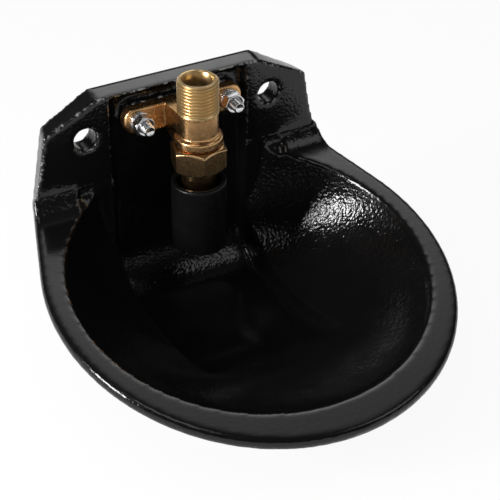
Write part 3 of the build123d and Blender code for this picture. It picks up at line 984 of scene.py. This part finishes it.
@dataclass
class InletValve:
    """Brass body with its threaded inlet, the union nut and the spout below."""

    axis_y: float
    inlet: Thread = field(default_factory=lambda: Thread(
        crest_r=10.478 * MM, depth=1.162 * MM, pitch=1.814 * MM, bottom=13.2 * MM, top=31 * MM,
        lead=0.9 * MM, segments=144, steps=12))
    inlet_lap: float = 0.3 * MM
    root_inset: float = 0.3 * MM
    lip_inset: float = 0.1 * MM
    cut_height: float = 13.0 * MM
    bore_r: float = 7.85 * MM
    mouth_bevel: float = 0.5 * MM
    casting_voxel: float = 0.38 * MM
    casting_passes: int = 4
    nut_flats: float = 26 * MM
    nut_bore_r: float = 11.0 * MM
    nut_face_share: float = 0.955
    nut_edge: float = 0.5 * MM
    nut_flat_parts: int = 10
    nut_turn_degrees: float = -45.4
    web_height: float = 2.2 * MM
    web_bore_r: float = 8.85 * MM
    web_lap: float = 0.3 * MM
    web_rise: float = 0.2 * MM
    web_edge: float = 0.3 * MM
    spout_r: float = 8.75 * MM
    spout_bore_r: float = 5.6 * MM
    spout_flange: float = 2.4 * MM
    spout_edge: float = 0.4 * MM
    seat_r: float = 8.4 * MM
    seat_depth: float = 1.4 * MM

    def build(self) -> None:
        """Build the valve's outer pieces in place of their solids."""
        self.body()
        self.threaded_inlet()
        self.union_nut()
        self.spout()

    def set_on_axis(self, piece: bpy.types.Object, finish: Finish, node: str, height: float = 0.0) -> None:
        """Move a piece made round +Z to the valve's axis, and dress it.

        Args:
            piece: The piece.
            finish: Its finish.
            node: The solid that it replaces.
            height: Where its own origin goes on the axis.
        """
        piece.data.transform(Matrix.Translation((0, self.axis_y, height)))
        dress(piece, finish, "bowl", node)

    def body(self) -> None:
        """Cast flange, bracket, barrel and collar, up to the thread."""
        body = merged_copy("valve_body", "valve_casting")
        sheet = bmesh.new()
        sheet.from_mesh(body.data)
        cut = bmesh.ops.bisect_plane(
            sheet, geom=sheet.verts[:] + sheet.edges[:] + sheet.faces[:],
            plane_co=(0, 0, self.cut_height), plane_no=(0, 0, 1), clear_outer=True)
        rims = [item for item in cut["geom_cut"] if isinstance(item, bmesh.types.BMEdge)]
        bmesh.ops.triangle_fill(sheet, edges=rims, use_beauty=True)
        sheet.to_mesh(body.data)
        sheet.free()
        soften(body, self.casting_voxel, self.casting_passes)
        dress(body, Finish.BRASS, "bowl", "valve_body")

    def threaded_inlet(self) -> None:
        """Male pipe thread with its open mouth."""
        thread = self.inlet
        under = self.cut_height - self.inlet_lap

        def circle(radius: float, height: float) -> list[Vector]:
            """A level circle with the thread's points."""
            return level_ring(height, [radius] * thread.segments)

        rings = [circle(self.bore_r, under), circle(self.bore_r, thread.top - self.mouth_bevel),
                 circle(self.bore_r + self.mouth_bevel, thread.top),
                 circle(thread.crest_r - thread.lead - self.lip_inset, thread.top),
                 *reversed(thread.rings()), circle(thread.crest_r - self.root_inset, under)]
        self.set_on_axis(close_rings(rings, "threaded_inlet", tube=True), Finish.TURNED_BRASS, "valve_body")

    def union_nut(self) -> None:
        """Hexagon that clamps the spout under the collar, with the web inside it."""
        low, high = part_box("union_nut")
        nut = HexNut(self.nut_flats, high.z - low.z, self.nut_bore_r, self.nut_face_share,
                     edge=self.nut_edge, flat_parts=self.nut_flat_parts)
        hexagon = nut.build("union_hexagon", self.nut_turn_degrees)
        self.set_on_axis(hexagon, Finish.NUT_AND_SHADED_BRASS, "union_nut", low.z)
        outer_r = self.nut_bore_r + self.web_lap
        outline = [(self.web_bore_r, low.z), (outer_r, low.z + self.web_rise),
                   (outer_r, low.z + self.web_height), (self.web_bore_r, low.z + self.web_height)]
        self.set_on_axis(turned_ring(rounded(outline, self.web_edge), "union_web"), Finish.NUT_AND_SHADED_BRASS, "union_nut")

    def spout(self) -> None:
        """Brass spout with the seat that the hanger rocks on."""
        low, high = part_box("outlet_spout")
        flange_r = (high.x - low.x) / 2
        outline = [
            (self.spout_bore_r, low.z), (self.spout_r, low.z), (self.spout_r, high.z - self.spout_flange),
            (flange_r, high.z - self.spout_flange), (flange_r, high.z), (self.seat_r, high.z),
            (self.seat_r, high.z - self.seat_depth), (self.spout_bore_r, high.z - self.seat_depth),
        ]
        spout = turned_ring(rounded(outline, self.spout_edge), "brass_spout")
        # The spout takes the darker nut brass as painted shade, for the shade deep inside the pipe's mouth.
        self.set_on_axis(spout, Finish.NUT_AND_SHADED_BRASS, "outlet_spout")


@dataclass
class HangingPipe:
    """The black pipe that the animal pushes."""

    voxel: float = 0.5 * MM
    passes: int = 3
    roughness: float = 0.5

    def build(self) -> None:
        """Build the softened pipe in place of its solid."""
        pipe = merged_copy("drinking_pipe", "hanging_pipe")
        soften(pipe, self.voxel, self.passes)
        paint(pipe.data, SAND_SKIN, np.full(len(pipe.data.vertices), self.roughness))
        dress(pipe, Finish.PIPE_ENAMEL, "pipe", "drinking_pipe")


@dataclass
class EarFasteners:
    """The bolts, nuts and washers that hold the valve's ears to the casting."""

    bolt_r: float = 3 * MM
    shank_room: float = 0.02 * MM
    pitch: float = 1 * MM
    thread_depth: float = 0.55 * MM
    thread_length: float = 18 * MM
    thread_steps: int = 8
    end_bevel: float = 0.5 * MM
    flats: float = 10 * MM
    head_height: float = 4 * MM
    head_dimple: float = 0.2 * MM
    dish_r: float = 2.1 * MM
    dish_depth: float = 0.25 * MM
    around: int = 64
    nut_room: float = 0.05 * MM
    nut_edge: float = 0.3 * MM
    washer_r: float = 5.5 * MM
    washer_room: float = 0.2 * MM
    washer_edge: float = 0.2 * MM
    split_voxel: float = 0.2 * MM
    split_passes: int = 2
    ear_spacing: float = 50 * MM
    first_turn_degrees: float = 20.0
    second_turn_degrees: float = 50.0

    def pair(self, tree: ShapeTree, prototype: bpy.types.Object, name: str, node: str, distance: float) -> None:
        """Set one kind of fastener at both ears.

        Args:
            tree: The tree that sets pairs.
            prototype: The fastener, made round +Z with its back on its own origin.
            name: The new pair's name.
            node: The solids that the pair replaces.
            distance: How far out of the wall its back is.
        """
        prototype.data.transform(Matrix.Rotation(math.radians(90), 4, "X"))
        bolts_low, bolts_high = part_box("valve_bolts")
        pair = new_piece(name, bpy.data.meshes.new(name))
        tree.run(pair, Fastener=prototype, Spacing=self.ear_spacing, Height=(bolts_low.z + bolts_high.z) / 2,
                 Distance=distance, First=math.radians(self.first_turn_degrees),
                 Second=math.radians(self.second_turn_degrees), Material=Finish.ZINC.material())
        bpy.data.objects.remove(prototype)
        dress(pair, Finish.ZINC, "bowl", node)

    def bolt(self) -> bpy.types.Object:
        """Hexagon head with a threaded shank, dished at its end."""
        low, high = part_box("valve_bolts")
        length = high.y - low.y
        shank_r = self.bolt_r - self.shank_room
        thread = Thread(shank_r, self.thread_depth, self.pitch, length - self.thread_length, length,
                        self.end_bevel, self.around, self.thread_steps)
        dish = [level_ring(length, [self.dish_r] * self.around),
                level_ring(length - self.dish_depth, [self.dish_r - self.dish_depth] * self.around)]
        start = level_ring(self.head_dimple, [shank_r] * self.around)
        shank = close_rings([start, *thread.rings(), *dish], "shank", tube=False)
        head = HexNut(self.flats, self.head_height, self.bolt_r / 2).build("head")
        sheet = bmesh.new()
        for part in (shank, head):
            sheet.from_mesh(part.data)
            bpy.data.objects.remove(part)
        return piece_from(sheet, "bolt_shape")

    def build(self) -> None:
        """Build all the fasteners at the ears."""
        tree = fastener_pair_tree()
        _, bolts_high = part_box("valve_bolts")
        self.pair(tree, self.bolt(), "ear_bolts", "valve_bolts", -bolts_high.y)
        nuts_low, nuts_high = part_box("valve_nuts")
        nut = HexNut(self.flats, nuts_high.y - nuts_low.y, self.bolt_r + self.nut_room, edge=self.nut_edge)
        self.pair(tree, nut.build("nut_shape"), "ear_nuts", "valve_nuts", -nuts_high.y)
        low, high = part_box("flat_washers")
        inner_r, thickness = self.bolt_r + self.washer_room, high.y - low.y
        outline = [(inner_r, 0.0), (self.washer_r, 0.0), (self.washer_r, thickness), (inner_r, thickness)]
        ring = turned_ring(rounded(outline, self.washer_edge), "washer_shape", self.around)
        self.pair(tree, ring, "plain_washers", "flat_washers", -high.y)
        split_rings = merged_copy("spring_washers", "lock_washers")
        soften(split_rings, self.split_voxel, self.split_passes)
        dress(split_rings, Finish.ZINC, "bowl", "spring_washers")


@dataclass
class InnerWorks:
    """The small pieces inside the valve and the pipe, which keep their solids' shapes."""

    finishes: dict[Finish, tuple[str, ...]] = field(default_factory=lambda: {
        Finish.RUBBER: ("spout_gasket", "seat_seal", "poppet_washer"),
        Finish.NYLON: ("rocker_washer",),
        Finish.NUT_AND_SHADED_BRASS: ("seat_ring", "poppet", "poppet_nut"),
        Finish.STAINLESS: ("spring_retainer", "retaining_ring", "inlet_strainer", "pipe_hanger", "pipe_bridge",
                           "hanger_washer", "hanger_nut"),
    })

    def build(self) -> None:
        """Give each inner piece its finish."""
        for finish, nodes in self.finishes.items():
            for node in nodes:
                coat(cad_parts[node], finish)
                log.info("%s keeps its shape with %s", node, finish.name)
        self.spring()

    def spring(self) -> None:
        """Spring with its upper end held by the retainer, copied onto a mesh of its own."""
        spring = merged_copy("return_spring", "poppet_spring")
        dress(spring, Finish.STAINLESS, "bowl", "return_spring")
        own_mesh(spring)


# ---------- studio
@dataclass
class Softbox:
    """A rectangular lamp that faces a point on the bowl."""

    name: str
    target: Vector
    way: Triple
    size: Range
    power: float
    distance: float = 0.9

    def build(self) -> None:
        """Hang the lamp."""
        lamp = bpy.data.lights.new(self.name, "AREA")
        lamp.shape = "RECTANGLE"
        lamp.size, lamp.size_y = self.size
        lamp.energy = self.power
        place = self.target + Vector(self.way) * self.distance
        holder = bpy.data.objects.new(self.name, lamp)
        bpy.context.scene.collection.objects.link(holder)
        holder.location = place
        holder.rotation_mode = "QUATERNION"
        holder.rotation_quaternion = (self.target - place).to_track_quat("-Z", "Y")


@dataclass
class Studio:
    """White floor, the room round it, soft lamps and the camera."""

    floor_half: float = 8.0
    floor_gap: float = 0.5 * MM
    floor_colour: Triple = (0.9, 0.9, 0.9)
    floor_roughness: float = 0.9
    floor_glow: float = 0.92
    room_level: float = 0.45
    band_top: float = 0.08
    dark_from: float = 0.25
    dark_level: float = 0.06
    window_way: Triple = (0.40, 0.64, 0.656)
    window_core: Range = (1.9, 30.0)
    window_halo: Range = (1.2, 12.0)
    window_sill: Range = (0.50, 0.64)
    flag_way: Triple = (-0.82, -0.55, 0.14)
    flag_edge: Range = (0.78, 0.94)
    flag_level: float = 0.1
    camera_place_mm: Triple = (-281.88, -586.79, 364.08)
    camera_right: Triple = (0.87470, -0.48458, 0.00955)
    camera_up: Triple = (0.27073, 0.50485, 0.81965)
    lens_mm: float = 103.68
    sensor_mm: float = 36.0

    def build(self) -> None:
        """Set up the whole studio."""
        self.floor()
        self.room()
        self.lamps()
        self.camera()

    def seen_rays(self, tree: Wiring) -> Socket:
        """1 for rays from the camera, off shiny surfaces or through clear ones, and 0 for the rest.

        Args:
            tree: The tree that the nodes go into.

        Returns:
            The number.
        """
        path = tree.add("ShaderNodeLightPath").outputs
        total = path["Is Camera Ray"]
        for name in ("Is Glossy Ray", "Is Transmission Ray"):
            total = tree.math("ADD", total, path[name], clamp=True)
        return total

    def floor(self) -> None:
        """White floor just under the bowl, which keeps its shadow."""
        low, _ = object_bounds()
        height, half = low.z - self.floor_gap, self.floor_half
        corners_at = [(x * half, y * half, height) for x, y in ((-1, -1), (1, -1), (1, 1), (-1, 1))]
        mesh = bpy.data.meshes.new("studio_floor")
        mesh.from_pydata(corners_at, [], [(0, 1, 2, 3)])
        floor = new_piece("studio_floor", mesh)
        tree = ShaderTree("pale_floor")
        tree.feed("Base Color", (*self.floor_colour, 1.0))
        tree.feed("Roughness", self.floor_roughness)
        glow = tree.add("ShaderNodeEmission", {"Strength": 1.0})
        share = tree.math("MULTIPLY", self.seen_rays(tree), self.floor_glow)
        mix = tree.add("ShaderNodeMixShader", {
            "Fac": share, 1: tree.shader.outputs["BSDF"], 2: glow.outputs["Emission"]})
        tree.join(mix.outputs["Shader"], tree.find("OUTPUT_MATERIAL").inputs["Surface"])
        floor.data.materials.append(tree.material)
        floor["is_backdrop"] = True

    def room(self) -> None:
        """White near the floor, dark overhead, with a soft window behind the bowl and a dark flag beside it."""
        world = bpy.data.worlds.new("studio_room")
        world.use_nodes = True
        bpy.context.scene.world = world
        tree = Wiring(world.node_tree)
        look = tree.add("ShaderNodeTexCoord").outputs["Generated"]
        up = tree.add("ShaderNodeSeparateXYZ", {"Vector": look}).outputs["Z"]

        def towards(aim: Triple) -> Socket:
            """How nearly each direction points the way of the aim."""
            inputs = {0: look, 1: Vector(aim).normalized()}
            return tree.add("ShaderNodeVectorMath", inputs, operation="DOT_PRODUCT").outputs["Value"]

        band = tree.spread(up, 1.0, self.dark_level, self.band_top, self.dark_from, "SMOOTHSTEP")
        flag = tree.spread(towards(self.flag_way), 1.0, self.flag_level, *self.flag_edge, "SMOOTHSTEP")
        sill = tree.spread(up, 0.0, 1.0, *self.window_sill, "SMOOTHSTEP")
        facing = tree.math("MAXIMUM", towards(self.window_way), 0.0)
        total = tree.math("MULTIPLY", band, flag)
        for strength, tightness in (self.window_core, self.window_halo):
            pane = tree.math("MULTIPLY", tree.math("POWER", facing, tightness), sill)
            total = tree.math("MULTIPLY_ADD", pane, strength, total)
        inputs = {"A": self.room_level, "B": total, "Factor": self.seen_rays(tree)}
        level = tree.add("ShaderNodeMix", inputs, data_type="FLOAT").outputs["Result"]
        background = tree.find("BACKGROUND").inputs
        tree.join(level, background["Strength"])
        tree.join((1.0, 1.0, 1.0, 1.0), background["Color"])

    def lamps(self) -> None:
        """A small lamp over the left rim, a broad one above the left front and a low fill at the right."""
        dish = Vector((72, -50, -60)) * MM
        valve = Vector((0, -32, 10)) * MM
        Softbox("dish_lamp", dish, (-0.935, -0.03, 0.34), size=(0.21, 0.29), power=8.5).build()
        Softbox("valve_lamp", valve, (-0.444, -0.289, 0.848), size=(0.4, 0.4), power=0.9).build()
        Softbox("edge_lamp", valve, (0.552, -0.497, 0.669), size=(0.36, 0.36), power=0.6).build()

    def camera(self) -> None:
        """Camera above and to the left, looking down into the bowl."""
        lens = bpy.data.cameras.new("camera")
        lens.lens = self.lens_mm
        lens.sensor_width = self.sensor_mm
        camera = bpy.data.objects.new("camera", lens)
        right, up = Vector(self.camera_right), Vector(self.camera_up)
        turn = Matrix((right, up, right.cross(up))).transposed().to_4x4()
        camera.matrix_world = Matrix.Translation(Vector(self.camera_place_mm) * MM) @ turn
        bpy.context.scene.collection.objects.link(camera)
        bpy.context.scene.camera = camera
        bpy.context.scene.view_settings.view_transform = "Standard"


def corners(box: tuple[Vector, Vector]) -> list[list[float]]:
    """A box's two corners as plain lists."""
    return [list(corner) for corner in box]


def main() -> None:
    """Build the bowl's looks in order."""
    logging.basicConfig(level=logging.INFO, format="%(name)s: %(message)s")
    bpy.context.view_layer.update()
    low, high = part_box("drinking_pipe")
    axis_y = (low.y + high.y) / 2
    IronBowl().build()
    InletValve(axis_y).build()
    HangingPipe().build()
    EarFasteners().build()
    InnerWorks().build()
    Studio().build()


if __name__ == "__main__":
    main()
